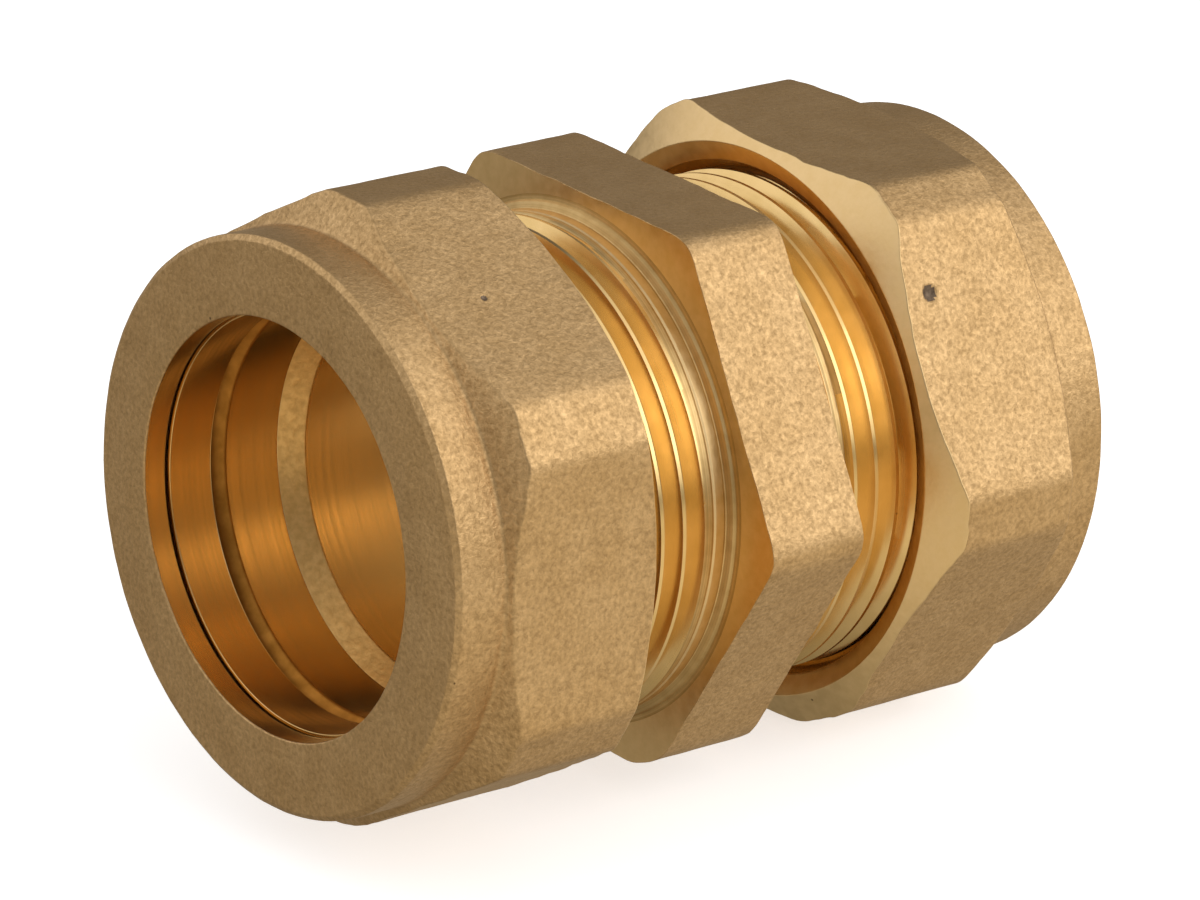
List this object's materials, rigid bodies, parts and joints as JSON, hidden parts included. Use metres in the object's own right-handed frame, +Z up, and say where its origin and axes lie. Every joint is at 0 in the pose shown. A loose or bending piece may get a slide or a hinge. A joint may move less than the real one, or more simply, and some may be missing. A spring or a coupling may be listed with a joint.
{
  "type": "straight compression coupling",
  "caption": "Straight brass compression coupling for copper tube: hexagon body with threaded spigots, collared hexagon nuts and loose sealing olives, through bore.",
  "frame": {"origin": "the middle of the body's waterway, on the axis of the fitting, midway between the two faces of the body's hexagon", "axes": "+X along the axis of the fitting from the front end to the rear end; +Z up, square to two flats of the body's hexagon; +Y completes a right-handed set, through two of the body's corners"},
  "size_m": [0.0701, 0.0558, 0.0558],
  "materials": {
    "forged_brass": "hot-forged and blasted satin, machined bright on faces, threads and bores",
    "machined_brass": "smooth turned"
  },
  "bodies": {
    "coupling_body": {"coupling_body": "forged_brass"},
    "front_olive": {"front_olive": "machined_brass"},
    "front_nut": {"front_nut": "forged_brass"},
    "rear_olive": {"rear_olive": "machined_brass"},
    "rear_nut": {"rear_nut": "forged_brass"}
  },
  "joints": [
    {"name": "front_olive_slide", "type": "slide", "parent": "coupling_body", "child": "front_olive", "axis": [-1, 0, 0], "range_m": [-0.00113, 0.01373]},
    {"name": "front_nut_turn", "type": "hinge", "parent": "front_olive", "child": "front_nut", "pos_m": [-0.02573, 0, 0], "axis": [-1, 0, 0], "range_deg": [-176, 2140]},
    {"name": "rear_olive_slide", "type": "slide", "parent": "coupling_body", "child": "rear_olive", "axis": [1, 0, 0], "range_m": [0, 0.01511]},
    {"name": "rear_nut_turn", "type": "hinge", "parent": "rear_olive", "child": "rear_nut", "pos_m": [0.02435, 0, 0], "axis": [1, 0, 0], "range_deg": [0, 2355]}
  ],
  "couplings": [
    {"joint": "front_olive_slide", "follows": "front_nut_turn", "m_per_rad": 0.0003675},
    {"joint": "rear_olive_slide", "follows": "rear_nut_turn", "m_per_rad": 0.0003675}
  ]
}
